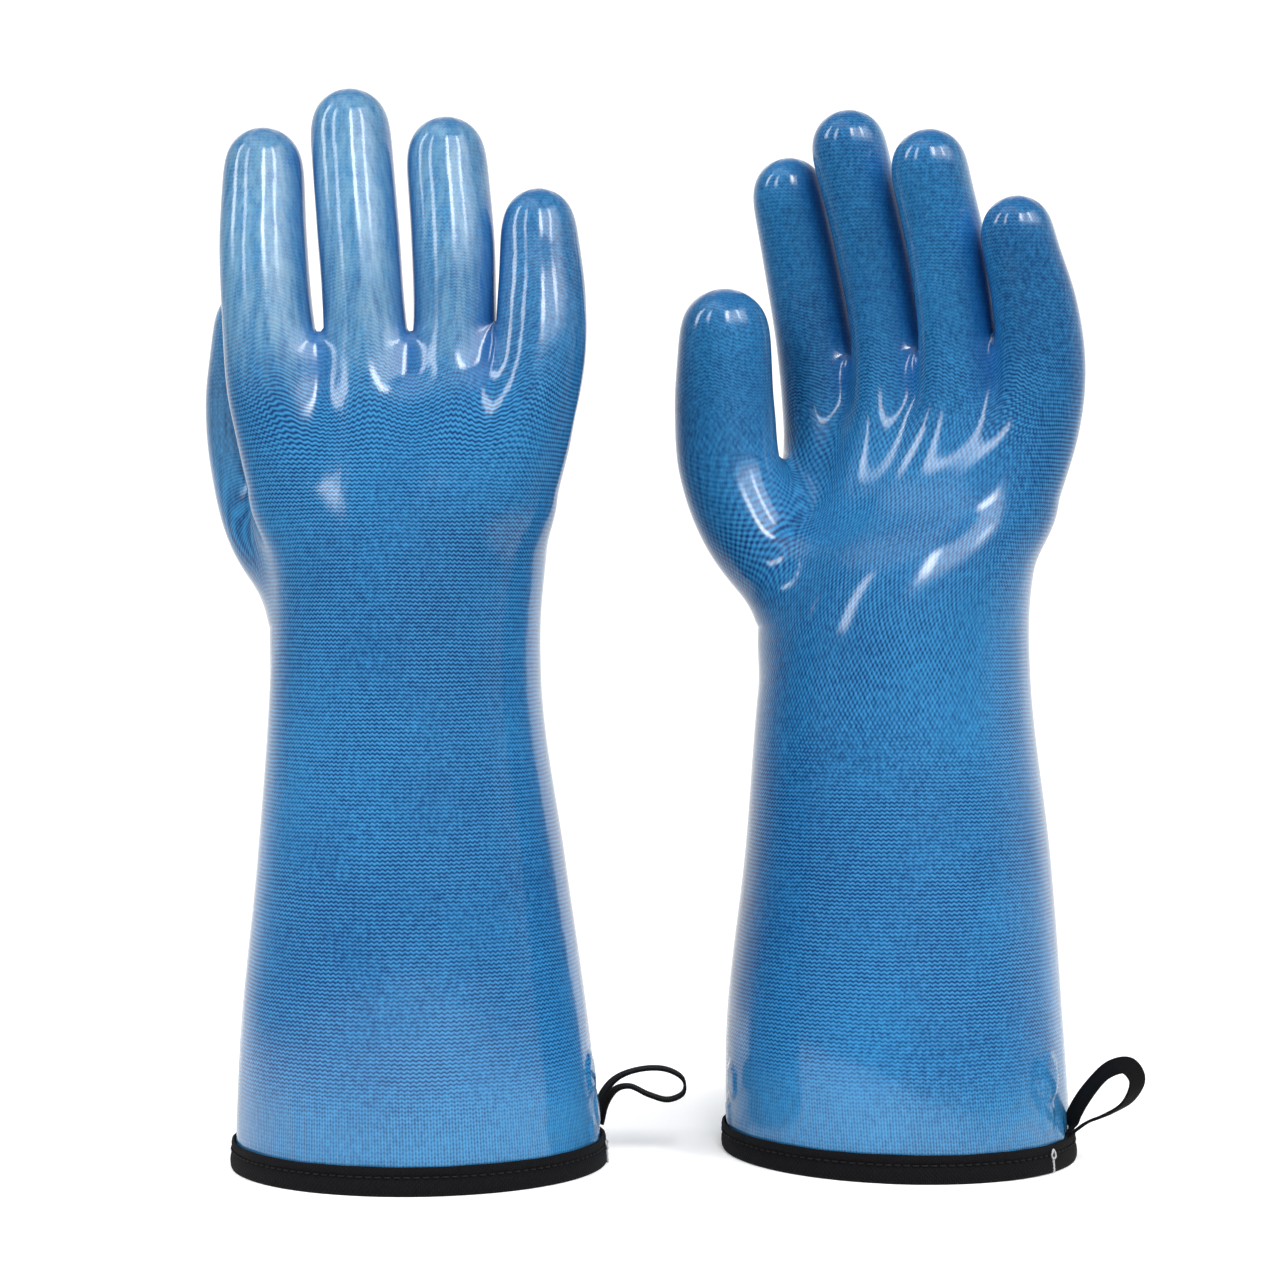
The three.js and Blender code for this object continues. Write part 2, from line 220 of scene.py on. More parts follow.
def core(p):
    """Signed distance to the forearm and palm."""
    z = p[..., 2]
    c = station(FOREARM, z)
    dx, dy = in_section(p, c)
    a, b = c[..., 2], c[..., 3]
    rho = np.hypot(dx / a, dy / b)
    grade = np.hypot(dx / a**2, dy / b**2) / np.maximum(rho, 1e-3)
    side = (rho - 1) / np.maximum(grade, 1 / np.maximum(a, b))
    side = np.where(rho < 0.05, -np.minimum(a, b), side)
    return -smooth_min(-side, FOREARM[-1][0] - z, SOFT["end"])


def digit(p, name):
    """Signed distance to one digit, whose level sections are circles."""
    table = DIGITS[name]
    low, high = table[0], table[-1]
    z = p[..., 2]
    held = np.clip(z, low[0], high[0])
    c = station(table, held)
    half = 0.5
    slope = (station(table, held + half) - station(table, held - half)) / (2 * half)
    away = p[..., :2] - c[..., :2]
    r = np.linalg.norm(away, axis=-1)
    n = away / np.maximum(r, 1e-6)[..., None]
    lean = n[..., 0] * slope[..., 0] + n[..., 1] * slope[..., 1] + slope[..., 2]
    side = (r - c[..., 2]) / np.sqrt(1 + lean**2)
    tip = np.linalg.norm(p - np.array([high[1], high[2], high[0]]), axis=-1) - high[3]
    root = np.linalg.norm(p - np.array([low[1], low[2], low[0]]), axis=-1) - low[3]
    return np.where(z > high[0], tip, np.where(z < low[0], root, side))


def web(p, one, other, z, y, r):
    """Signed distance to a level bar between the centre lines of two fingers."""
    ends = [station(DIGITS[name], np.array([float(z)]))[0, 0] for name in (one, other)]
    x = np.clip(p[..., 0], *ends)
    return np.sqrt((p[..., 0] - x)**2 + (p[..., 1] - y)**2 + (p[..., 2] - z)**2) - r


def furrow(p):
    """Depth of the soft furrows that run down the palm from between the fingers."""
    z = p[..., 2]
    depth = 0
    for one, other in zip(FINGERS, FINGERS[1:]):
        x = (station(DIGITS[one], z)[..., 0] + station(DIGITS[other], z)[..., 0]) / 2
        depth = depth + np.exp(-((p[..., 0] - x) / FURROW["wide"])**2)
    palm_side = ramp(p[..., 1] - station(FOREARM, z)[..., 1], 0, 12)
    return FURROW["deep"] * depth * palm_side * ramp(z, *FURROW["start"]) * (1 - ramp(z, *FURROW["end"]))


def glove_distance(p):
    """Signed distance to the whole outer surface of the glove. Fingers that touch keep a crease."""
    crease = SOFT["crease"] - SOFT["less"] * ramp(p[..., 2], *SOFT["heights"])
    fingers = digit(p, FINGERS[0])
    for name in FINGERS[1:]:
        fingers = smooth_min(fingers, digit(p, name), crease)
    for bar in WEBS:
        fingers = smooth_min(fingers, web(p, *bar), crease)
    hand = smooth_min(core(p), fingers, SOFT["fingers"])
    return smooth_min(hand, digit(p, "thumb"), SOFT["thumb"]) + furrow(p)


def gradient(distance, p):
    half = 0.25
    steps = np.eye(3) * half
    return np.stack([(distance(p + s) - distance(p - s)) / (2 * half) for s in steps], -1)


def unit(v):
    return v / np.maximum(np.linalg.norm(v, axis=-1), 1e-9)[..., None]


# -------------------------------------------------------- skins
def ways_round(sides):
    """Level unit directions, evenly round a full turn."""
    angle = np.arange(sides) * TAU / sides
    return np.stack([np.cos(angle), np.sin(angle)], -1)


def ring_skin(heights, sides):
    """Rows of points on the surface round the forearm's centre line, one row for each height."""
    way = ways_round(sides)
    rows = np.zeros((len(heights), sides, 3))
    middle = station(FOREARM, heights)[:, None, :2]
    low = np.full((len(heights), sides), 2.0)
    high = np.full((len(heights), sides), 110.0)
    rows[..., 2] = heights[:, None]
    for _ in range(24):
        mid = (low + high) / 2
        rows[..., :2] = middle + mid[..., None] * way
        outside = glove_distance(rows) > 0
        high = np.where(outside, mid, high)
        low = np.where(outside, low, mid)
    return rows


def grid_faces(rows, sides):
    """Quads of a tube of rows, wound to face out."""
    i, k = np.meshgrid(np.arange(rows - 1), np.arange(sides), indexing="ij")
    n = (k + 1) % sides
    quads = np.stack([i * sides + k, i * sides + n, (i + 1) * sides + n, (i + 1) * sides + k], -1)
    return quads.reshape(-1, 4).tolist()


def drip_height(p):
    """How far the silicone's lobes stand out at points on the cuff."""
    c = station(FOREARM, p[..., 2])
    angle = np.degrees(np.arctan2(p[..., 1] - c[..., 1], p[..., 0] - c[..., 0]))
    total = np.zeros(p.shape[:-1])
    for at, height, wide, high, rise in DRIPS:
        away = (angle - at + 180) % 360 - 180
        across = np.radians(away) * c[..., 2] / wide
        reach = np.hypot(across, (p[..., 2] - height) / high)
        total = np.maximum(total, rise * (1 - ramp(reach, 0.72, 1.12)))
    return total


def cuff_skin(step):
    """The forearm's skin with the thumb's root and the lobes, from the binding to the wrist's top."""
    heights = np.linspace(BASE, WRIST_TOP, int((WRIST_TOP - BASE) / step) + 1)
    sides = int(CUFF_ROUND / step)
    points = ring_skin(heights, sides).reshape(-1, 3)
    normals = unit(gradient(glove_distance, points))
    lobes = gradient(drip_height, points)
    tilted = normals - lobes + (lobes * normals).sum(1)[:, None] * normals
    return points + drip_height(points)[:, None] * normals, grid_faces(len(heights), sides), unit(tilted)


def digit_skin(name, step):
    """A digit's skin above its seam: rows up the finger, then a round tip."""
    table = DIGITS[name]
    top, tip_x, tip_y, tip_r = table[-1]
    seam = BENDS[name][0]
    heights = np.linspace(seam, top, int((top - seam) / step) + 1)
    sides = int(TAU * table[-2][3] / step)
    sides += sides % 2
    c = station(table, heights)
    way = ways_round(sides)
    rows = []
    for (x, y, radius), z in zip(c, heights):
        rows.append(np.concatenate([[x, y] + radius * way, np.full((sides, 1), z)], 1))
    for lift in np.linspace(0, math.pi / 2, int(tip_r * 1.57 / step) + 1)[1:-1]:
        flat = tip_r * math.cos(lift) * way + np.array([tip_x, tip_y])
        rows.append(np.concatenate([flat, np.full((sides, 1), top + tip_r * math.sin(lift))], 1))
    rows = np.array(rows)
    near_tip = np.exp(-((rows[1:-1, :, 2:] - top) / TIP_BLEND)**2)
    for _ in range(10):
        even = (rows[:-2] + 2 * rows[1:-1] + rows[2:]) / 4
        rows[1:-1] += near_tip * (even - rows[1:-1])
    round_it = np.roll(rows, -1, axis=1) - np.roll(rows, 1, axis=1)
    square = unit(np.cross(round_it, np.gradient(rows, axis=0))).reshape(-1, 3)
    points = np.concatenate([rows.reshape(-1, 3), [[tip_x, tip_y, top + tip_r]]])
    faces = grid_faces(len(rows), sides)
    last = (len(rows) - 1) * sides
    faces += [[last + k, last + (k + 1) % sides, len(points) - 1] for k in range(sides)]
    normals = unit(gradient(glove_distance, points))
    above_seam = ramp(points[:-1, 2:], seam + 2, seam + 14)
    normals[:-1] = unit(normals[:-1] * (1 - above_seam) + square * above_seam)
    return points, faces, normals


def nearest_digit(p):
    """Index of the digit nearest to each point."""
    return np.stack([digit(p, name) for name in DIGITS], -1).argmin(-1)


def hand_skin(step):
    """The palm and finger roots from the wrist's top to the digits' seams, by surface nets on a lattice."""
    low = np.array(HAND_LOW)
    count = ((np.array(HAND_HIGH) - low) / step).astype(int) + 1
    planes = [low[a] + step * np.arange(count[a]) for a in range(3)]
    field = glove_distance(np.stack(np.meshgrid(*planes, indexing="ij"), -1))
    cells = count - 1
    total = np.zeros((*cells, 3))
    hits = np.zeros(cells)
    quads = []
    number = np.arange(cells.prod()).reshape(cells)
    for axis in range(3):
        b, c = (axis + 1) % 3, (axis + 2) % 3
        one = [slice(None)] * 3
        two = [slice(None)] * 3
        one[axis], two[axis] = slice(0, -1), slice(1, None)
        f0, f1 = field[tuple(one)], field[tuple(two)]
        crossed = (f0 < 0) != (f1 < 0)
        at = np.argwhere(crossed)
        keep = ((at[:, [b, c]] > 0) & (at[:, [b, c]] < count[[b, c]] - 1)).all(1)
        at = at[keep]
        v0, v1 = f0[tuple(at.T)], f1[tuple(at.T)]
        place = low + step * at
        place[:, axis] += step * v0 / (v0 - v1)
        corners = []
        for db, dc in ((1, 1), (0, 1), (0, 0), (1, 0)):
            cell = at.copy()
            cell[:, b] -= db
            cell[:, c] -= dc
            np.add.at(total, tuple(cell.T), place)
            np.add.at(hits, tuple(cell.T), 1)
            corners.append(number[tuple(cell.T)])
        quad = np.stack(corners, -1)
        quads.append(np.where((v0 < 0)[:, None], quad, quad[:, ::-1]))
    used = np.flatnonzero(hits.ravel())
    points = (total.reshape(-1, 3)[used]) / hits.ravel()[used, None]
    quads = np.searchsorted(used, np.concatenate(quads))
    points = settle(points, quads, np.ones(len(points), bool), 3)
    middle = points[quads].mean(1)
    seams = np.array([BENDS[name][0] for name in DIGITS], float)
    quads = quads[(middle[:, 2] > WRIST_TOP) & (middle[:, 2] < seams[nearest_digit(middle)])]
    points, quads = only_used(points, quads)
    rim = np.unique(open_edges(quads.tolist()))
    at_wrist = points[rim, 2] < WRIST_TOP + 2 * step
    points[rim, 2] = np.where(at_wrist, WRIST_TOP, seams[nearest_digit(points[rim])])
    free = np.ones(len(points), bool)
    free[rim] = False
    for _ in range(4):
        flat = gradient(glove_distance, points[rim])[:, :2]
        short = glove_distance(points[rim]) / np.maximum((flat**2).sum(1), 0.2)
        points[rim, :2] -= short[:, None] * flat
    points = settle(points, quads, free, 3)
    normals = unit(gradient(glove_distance, points))
    return points, quads.tolist(), even_out(normals, quads, rim)


def even_out(normals, quads, held):
    """Averages normals over neighbouring points, so that reflections run softly through the creases."""
    fixed = normals[held]
    for _ in range(HAND_EVENING):
        total = np.zeros_like(normals)
        middle = normals[quads].mean(1)
        for corner in range(4):
            np.add.at(total, quads[:, corner], middle)
        normals = unit(total)
        normals[held] = fixed
    return normals


def settle(points, quads, free, rounds):
    """Evens out the mesh along the surface and puts every free point back on it."""
    for _ in range(rounds):
        grade = gradient(glove_distance, points)
        normal = unit(grade)
        total = np.zeros_like(points)
        for k in range(4):
            for other in (quads[:, (k + 1) % 4], quads[:, (k + 3) % 4]):
                for a in range(3):
                    total[:, a] += np.bincount(quads[:, k], points[other, a], len(points))
        degree = 2 * np.bincount(quads.ravel(), minlength=len(points))
        pull = total / np.maximum(degree, 1)[:, None] - points
        pull -= (pull * normal).sum(1)[:, None] * normal
        moved = points + 0.6 * pull
        grade = gradient(glove_distance, moved)
        moved -= (glove_distance(moved) / np.maximum((grade**2).sum(1), 0.2))[:, None] * grade
        points = np.where(free[:, None], moved, points)
    return points


def only_used(points, faces):
    used = np.unique(faces)
    return points[used], np.searchsorted(used, faces)


def open_edges(faces):
    """Directed edges that only one face has, in the order of the faces."""
    edges = dict.fromkeys((f[k], f[(k + 1) % len(f)]) for f in faces for k in range(len(f)))
    return [(a, b) for a, b in edges if (b, a) not in edges]


def wall(points, faces, normals, outer, inner):
    """A closed wall between two depths under a skin. The first half of its points is the outer face."""
    n = len(points)
    rim = [[b, a, a + n, b + n] for a, b in open_edges(faces)]
    body = np.concatenate([points - outer * normals, points - inner * normals])
    turned = [[i + n for i in reversed(f)] for f in faces]
    return body, faces + turned + rim, np.concatenate([normals, -normals])


# -------------------------------------------------------- placing
def placed(points, glove, is_vector=False):
    """Points or directions of the right hand's frame, in mm, for one glove of the row, in mm."""
    g = GLOVES[glove]
    p = np.array(points, float)
    if g["mirrored"]:
        p[..., 1] *= -1
    yaw = math.radians(g["yaw"])
    x = p[..., 0] * math.cos(yaw) - p[..., 1] * math.sin(yaw)
    y = p[..., 0] * math.sin(yaw) + p[..., 1] * math.cos(yaw)
    shift = (0, 0) if is_vector else (g["x"], g["y"])
    return np.stack([x + shift[0], y + shift[1], p[..., 2]], -1)


def add_object(name, data):
    """An object in the scene with this mesh, light or camera."""
    obj = bpy.data.objects.new(name, data)
    bpy.context.scene.collection.objects.link(obj)
    return obj


def make_piece(name, glove, points, faces, normals, made):
    """A mesh object of the row from points in the right hand's frame. Normals may be None."""
    if GLOVES[glove]["mirrored"]:
        faces = [f[::-1] for f in faces]
    mesh = bpy.data.meshes.new(name)
    mesh.from_pydata((placed(points, glove) * MM).tolist(), [], faces)
    mesh.update()
    mesh.polygons.foreach_set("use_smooth", np.ones(len(faces), bool))
    rest = mesh.attributes.new("rest", "FLOAT_VECTOR", "POINT")
    rest.data.foreach_set("vector", (np.asarray(points) * MM).astype(np.float32).ravel())
    if normals is not None:
        mesh.normals_split_custom_set_from_vertices(placed(normals, glove, True).tolist())
    mesh.materials.append(made)
    return add_object(name, mesh)


def face_corners(mesh):
    """Each face corner's vertex, and each face's number of corners."""
    vertex = np.zeros(len(mesh.loops), np.int32)
    mesh.loops.foreach_get("vertex_index", vertex)
    sizes = np.zeros(len(mesh.polygons), np.int32)
    mesh.polygons.foreach_get("loop_total", sizes)
    return vertex, sizes


def write_uv(mesh, name, u, v):
    """A UV map from u and v at each face corner."""
    layer = mesh.uv_layers.new(name=name)
    layer.data.foreach_set("uv", np.stack([u, v], -1).astype(np.float32).ravel())


def wrap_uv(mesh, name, turns, stitches, along):
    """A UV map from turns round, unwrapped within each face and counted in stitches, and along."""
    vertex, sizes = face_corners(mesh)
    u = turns[vertex]
    first = np.concatenate([[0], np.cumsum(sizes)[:-1]])
    u = u - np.round(u - np.repeat(u[first], sizes))
    write_uv(mesh, name, u * stitches, along[vertex])


def set_value(mesh, name, values):
    """A number at each point, which the material reads by its name."""
    attribute = mesh.attributes.new(name, "FLOAT", "POINT")
    attribute.data.foreach_set("value", np.asarray(values, np.float32))


# -------------------------------------------------------- knit coordinates
def thumb_rows(z):
    """Distance along the thumb's centre line for a height on it."""
    table = DIGITS["thumb"]
    heights = np.linspace(table[0][0], table[-1][0], 200)
    c = station(table, heights)
    steps = np.hypot(np.hypot(*np.diff(c[:, :2], axis=0).T), np.diff(heights))
    length = np.concatenate([[0], np.cumsum(steps)]) + table[0][0] - 10
    return np.interp(z, heights, length)


def thumb_height(p):
    """Height on the thumb's centre line of the plane square to it that passes through each point."""
    table = DIGITS["thumb"]
    z = np.clip(p[:, 2], table[0][0], table[-1][0])
    for _ in range(6):
        c = station(table, z)
        ahead = station(table, z + 1)
        way = np.concatenate([ahead[:, :2] - c[:, :2], np.ones((len(z), 1))], 1)
        off = p - np.concatenate([c[:, :2], z[:, None]], 1)
        z = np.clip(z + 0.7 * (off * way).sum(1) / (way**2).sum(1), table[0][0], table[-1][0] + 30)
    return z


def knit_coordinates(p, name):
    """Turns round, stitches in a turn and rows along for a skin's points. name is a digit, cuff or hand."""
    c = station(FOREARM, p[:, 2])
    dx, dy = in_section(p, c)
    round_core = np.arctan2(dy / c[:, 3], dx / c[:, 2]) / TAU
    near_thumb = digit(p, "thumb")
    top, radius = DIGITS.get(name, DIGITS["thumb"])[-1][::3]
    dome = radius * np.arcsin(np.clip((p[:, 2] - top) / radius, 0, 1))
    along = np.minimum(p[:, 2], top) + dome if name in DIGITS else p[:, 2]
    if name in ("cuff", "hand", "thumb"):
        thumb_share = ramp(core(p) - near_thumb, -9, 13) * ramp(p[:, 2], 178, 214)
        rows = thumb_rows(np.minimum(thumb_height(p), DIGITS["thumb"][-1][0]))
        if name == "thumb":
            rows = rows + dome
        along = along + thumb_share * (rows - along)
    crown = np.zeros(len(p))
    for other in FINGERS:
        axis = station(DIGITS[other], p[:, 2])
        crown = np.maximum(crown, np.exp(-((p[:, 0] - axis[:, 0]) / ARCH["wide"])**2))
    at_roots = ramp(p[:, 2], *ARCH["start"]) * (1 - ramp(p[:, 2], *ARCH["end"]))
    along = (along - ARCH["high"] * crown * at_roots) / COURSE
    if name not in DIGITS:
        return round_core, WALES_ROUND, along
    axis = station(DIGITS[name], p[:, 2])
    turns = np.arctan2(p[:, 1] - axis[:, 1], p[:, 0] - axis[:, 0]) / TAU
    return turns, WALES_DIGIT, along


# -------------------------------------------------------- materials
def material(name, **sockets):
    """A Principled material, and short helpers to build its nodes."""
    made = bpy.data.materials.new(name)
    made.use_nodes = True
    tree = made.node_tree
    shader = tree.nodes["Principled BSDF"]
    for socket, value in sockets.items():
        shader.inputs[socket.replace("_", " ")].default_value = value
    return made, Nodes(tree), shader


class Nodes:
    """Adds shader nodes by short calls. Each call gives back the node's output."""

    def __init__(self, tree):
        self.tree = tree

    def link(self, value, socket):
        if isinstance(value, bpy.types.NodeSocket):
            self.tree.links.new(value, socket)
        else:
            socket.default_value = value

    def add(self, kind, inputs=None, output=0, **settings):
        node = self.tree.nodes.new(kind)
        for key, value in settings.items():
            setattr(node, key, value)
        for key, value in (inputs or {}).items():
            self.link(value, node.inputs[key])
        return node.outputs[output]

    def math(self, operation, a, b=0.0, c=0.0):
        return self.add("ShaderNodeMath", {0: a, 1: b, 2: c}, operation=operation)

    def times(self, a, b):
        return self.math("MULTIPLY", a, b)

    def plus(self, a, b):
        return self.math("ADD", a, b)

    def rest_of(self, a):
        """1 - a."""
        return self.math("SUBTRACT", 1.0, a)

    def wave(self, phase):
        """0.5 + 0.5 cos(phase)."""
        return self.math("MULTIPLY_ADD", self.math("COSINE", phase), 0.5, 0.5)

    def noise(self, vector, scale, detail=2.0, rough=0.5):
        inputs = {"Vector": vector, "Scale": scale, "Detail": detail, "Roughness": rough}
        return self.add("ShaderNodeTexNoise", inputs, output="Fac")

    def range(self, value, low, high, to_low=0.0, to_high=1.0):
        inputs = {"Value": value, "From Min": low, "From Max": high, "To Min": to_low, "To Max": to_high}
        return self.add("ShaderNodeMapRange", inputs, interpolation_type="SMOOTHSTEP")

    def mix(self, factor, a, b):
        return self.add("ShaderNodeMix", {0: factor, 6: a, 7: b}, output=2, data_type="RGBA")

    def parts(self, vector, count):
        """The first few of a vector's three numbers."""
        return [self.add("ShaderNodeSeparateXYZ", {0: vector}, output=axis) for axis in range(count)]

    def value(self, name):
        return self.add("ShaderNodeAttribute", output="Fac", attribute_name=name)

    def vector(self, name):
        return self.add("ShaderNodeAttribute", output="Vector", attribute_name=name)

    def scaled(self, vector, x, y, z):
        return self.add("ShaderNodeVectorMath", {0: vector, 1: (x, y, z)}, operation="MULTIPLY")

    def bump(self, height, distance, strength):
        return self.add("ShaderNodeBump", {"Height": height, "Distance": distance, "Strength": strength})


def knit_material():
    """Clear glossy silicone over a fine knit: rows of loops, dotted on the palm, with a painted pale
    reflection on the backs of the fingers and painted shade between them.
    """
    made, n, shader = material("silicone_over_knit", Roughness=0.5, Specular_IOR_Level=0.15, Coat_Weight=1.0,
                               Coat_Roughness=0.09, Coat_IOR=1.46)
    wale, row = n.parts(n.add("ShaderNodeUVMap", uv_map="knit"), 2)
    rest = n.vector("rest")
    drift = n.times(n.noise(rest, 60, 2), 0.9)
    sway = n.times(n.math("SINE", n.times(wale, TAU)), 0.16)
    bent_row = n.plus(n.plus(row, sway), drift)
    courses = n.wave(n.times(bent_row, TAU))
    by_wale = n.math("COSINE", n.times(wale, TAU))
    by_row = n.math("COSINE", n.times(n.plus(row, drift), math.pi))
    beads = n.math("MULTIPLY_ADD", n.times(by_wale, by_row), 0.5, 0.5)
    dotted = n.value("dotted")
    finger = n.value("finger")
    ribbed = n.value("ribbed")
    loops = n.plus(n.times(beads, dotted), n.times(courses, n.rest_of(dotted)))
    ribs = n.wave(n.times(wale, 2 * TAU))
    unribbed = n.times(loops, n.rest_of(n.times(ribbed, 0.65)))
    loops = n.plus(unribbed, n.times(n.times(ribs, ribbed), 0.65))
    patchy = n.range(n.noise(rest, 38, 3), 0.3, 0.7, 0.55, 1.1)
    speck = n.noise(n.scaled(rest, 1, 1, 0.45), 900, 2, 0.6)
    contrast = n.times(patchy, n.rest_of(n.times(finger, 0.68)))
    tone = n.math("MULTIPLY_ADD", n.math("SUBTRACT", loops, 0.5), contrast, 0.5)
    tone = n.plus(tone, n.math("SUBTRACT", speck, 0.5))
    tone = n.plus(tone, n.times(n.math("SUBTRACT", n.noise(rest, 14, 3), 0.5), 0.8))
    colour = n.mix(n.range(tone, -0.1, 1.1), KNIT["dark"], KNIT["light"])
    streaks = n.noise(n.scaled(rest, 1, 1, 0.05), 420, 3, 0.6)
    # painted reflection: a streaked whitish veil over the backs of the fingers, in place of a soft light's
    # reflection
    painted_reflection_amount = n.times(n.value("painted_reflection_weight"), n.range(streaks, 0.25, 0.75, 0.12, 0.62))
    colour = n.mix(painted_reflection_amount, colour, KNIT["painted_reflection"])
    colour = n.mix(n.times(ribbed, 0.22), colour, KNIT["ribbed"])
    # painted shade: darker, deeper blue where two digits come close, between the fingers
    colour = n.mix(n.times(n.value("painted_crease_shade"), 0.75), colour, KNIT["painted_crease_shade"])
    tip = n.value("tip")
    folds = n.wave(n.times(n.plus(wale, drift), TAU * 9 / WALES_DIGIT))
    pucker = n.times(n.times(folds, tip), n.math("SUBTRACT", 1.3, tip))
    colour = n.mix(n.times(tip, 0.35), colour, KNIT["tip"])
    n.link(colour, shader.inputs["Base Color"])
    knit_height = n.times(loops, contrast)
    n.link(n.bump(knit_height, 0.00035, 0.7), shader.inputs["Normal"])
    runs = n.noise(n.scaled(rest, 1, 1, 0.08), 240, 2)
    swell = n.noise(rest, 70, 2)
    skin = n.plus(n.times(runs, 0.35), n.times(swell, 0.8))
    skin = n.times(skin, n.rest_of(n.times(dotted, 0.75)))
    skin = n.plus(skin, n.times(knit_height, 0.03))
    skin = n.math("MULTIPLY_ADD", pucker, -2.2, skin)
    n.link(n.bump(skin, 0.0004, 0.5), shader.inputs["Coat Normal"])
    return made


def tape_material(name, tone):
    """Black woven tape with a fine twill."""
    made, n, shader = material(name, Roughness=0.85, Specular_IOR_Level=0.1, Sheen_Weight=0.01,
                               Sheen_Roughness=0.5)
    across, along = n.parts(n.add("ShaderNodeUVMap", uv_map="weave"), 2)
    warp = n.wave(n.times(across, TAU))
    weft = n.wave(n.times(n.plus(along, n.times(across, 0.5)), TAU))
    weave = n.times(warp, weft)
    fuzz = n.noise(n.vector("rest"), 700, 3)
    shade = n.math("MULTIPLY_ADD", weave, 0.6, n.times(fuzz, 0.5))
    dark = (tone * 0.45, tone * 0.45, tone * 0.55, 1)
    light = (tone * 1.7, tone * 1.7, tone * 2.0, 1)
    n.link(n.mix(shade, dark, light), shader.inputs["Base Color"])
    height = n.plus(weave, n.times(fuzz, 0.5))
    n.link(n.bump(height, 0.00025, 0.8), shader.inputs["Normal"])
    return made


def thread_material(name, tone):
    """Twisted sewing thread."""
    made, n, shader = material(name, Roughness=0.6, Specular_IOR_Level=0.2)
    twist = n.noise(n.vector("rest"), 2500, 2)
    dark = (tone * 0.6, tone * 0.6, tone * 0.62, 1)
    light = (tone * 1.3, tone * 1.3, tone * 1.35, 1)
    n.link(n.mix(twist, dark, light), shader.inputs["Base Color"])
    n.link(n.bump(twist, 0.0001, 0.6), shader.inputs["Normal"])
    return made


def fleece_material():
    """Brushed thermal lining."""
    made, n, shader = material("brushed_fleece", Roughness=0.95, Sheen_Weight=0.6, Sheen_Roughness=0.6)
    rest = n.vector("rest")
    pile = n.noise(rest, 420, 5, 0.7)
    clumps = n.noise(rest, 110, 3)
    shade = n.math("MULTIPLY_ADD", clumps, 0.6, n.times(pile, 0.4))
    n.link(n.mix(shade, FLEECE["dark"], FLEECE["light"]), shader.inputs["Base Color"])
    n.link(n.bump(n.plus(pile, clumps), 0.0012, 0.9), shader.inputs["Normal"])
    return made


# -------------------------------------------------------- shell and lining pieces
def dress_skin(obj, points, normals, name):
    """Knit coordinates and zone weights for a shell piece, with the weights of a painted pale reflection on
    the fingers' backs and of painted shade between the fingers.
    """
    wrap_uv(obj.data, "knit", *knit_coordinates(points, name))
    z = points[:, 2]
    finger = ramp(z, *ZONES["fingers"]) if name != "thumb" else np.ones(len(points))
    on_thumb = ramp(core(points) - digit(points, "thumb"), 4, 22) * ramp(z, *ZONES["thumb"])
    finger = np.maximum(finger, on_thumb)
    palm_side = ramp(points[:, 1] - station(FOREARM, z)[:, 1], -8, 14)
    set_value(obj.data, "finger", finger)
    set_value(obj.data, "dotted", palm_side * ramp(z, *ZONES["dots"]) * (1 - ramp(z, *ZONES["dots_end"])))
    to_digits = np.stack([digit(points, other) for other in DIGITS], -1)
    share = np.exp(-np.maximum(to_digits, 0) / 4)
    painted_reflection_amount = np.array([PAINTED_HAZE_BY_DIGIT[other] for other in DIGITS])
    painted_reflection = (share * painted_reflection_amount).sum(-1) / np.maximum(share.sum(-1), 1e-6)
    # the painted reflection is strongest where a point faces the back of the hand
    set_value(obj.data, "painted_reflection_weight", painted_reflection * finger * ramp(-normals[:, 1], -0.35, 0.75))
    gaps = np.sort(to_digits, axis=-1)[:, 1]
    # painted shade between the fingers, from how near the second nearest digit is
    set_value(obj.data, "painted_crease_shade", (1 - ramp(gaps, 0, 13)) * ramp(z, *ZONES["painted_crease_shade_heights"]))
    tip_z, tip_r = DIGITS.get(name, DIGITS["thumb"])[-1][::3]
    set_value(obj.data, "tip", ramp(z, tip_z + 0.45 * tip_r, tip_z + tip_r) if name in DIGITS else 0 * z)
    set_value(obj.data, "ribbed", 1 - ramp(z, *ZONES["ribs_end"]))


def centre_point(glove, z):
    """Point of the forearm's centre line, in metres."""
    c = station(FOREARM, np.array([float(z)]))[0]
    return tuple(placed([c[0], c[1], z], glove) * MM)


def build_skin(glove, name, skin, depths, suffix, made, nodes):
    """One shell or lining piece. The hand's piece is attached to the hand's body; the cuff's and digits'
    pieces stay where they are built.
    """
    points, faces, normals = skin
    body, closed, outward = wall(points, faces, normals, *depths)
    obj = make_piece(f"{glove}_{name}_{suffix}", glove, body, closed, outward, made)
    if suffix == "knit":
        dress_skin(obj, np.concatenate([points, points]), np.concatenate([normals, normals]), name)
    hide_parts(*[f"{glove}_{node}" for node in nodes])
    if name == "cuff":
        centre_point(glove, WRIST_BEND[0])
        centre_point(glove, WRIST_BEND[0])[:2] + (WRIST_BEND[1] * MM,)
        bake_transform(obj)
    elif name == "hand":
        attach(obj, f"{glove}_hand")
    else:
        x, y, _ = centre_point(glove, BENDS[name][0])
        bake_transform(obj)


# -------------------------------------------------------- cuff binding, stitches, bar tack
def cuff_line(angle, z, out):
    """Point on the cuff's outside at an angle round it in degrees, a height, and a distance out."""
    c = station(FOREARM, np.asarray(z, float))
    a = np.radians(angle)
    x = c[..., 0] + (c[..., 2] + out) * np.cos(a)
    y = c[..., 1] + (c[..., 3] + out) * np.sin(a)
    return np.stack([x, y, z + np.zeros_like(a)], -1)


def lap(angle):
    """How far the binding's end stands out where it overlaps its start."""
    past = (angle - TACK_ANGLE) % 360
    return LAP["rise"] * float(ramp(past, *LAP["start"]) * (1 - ramp(past, *LAP["end"])))


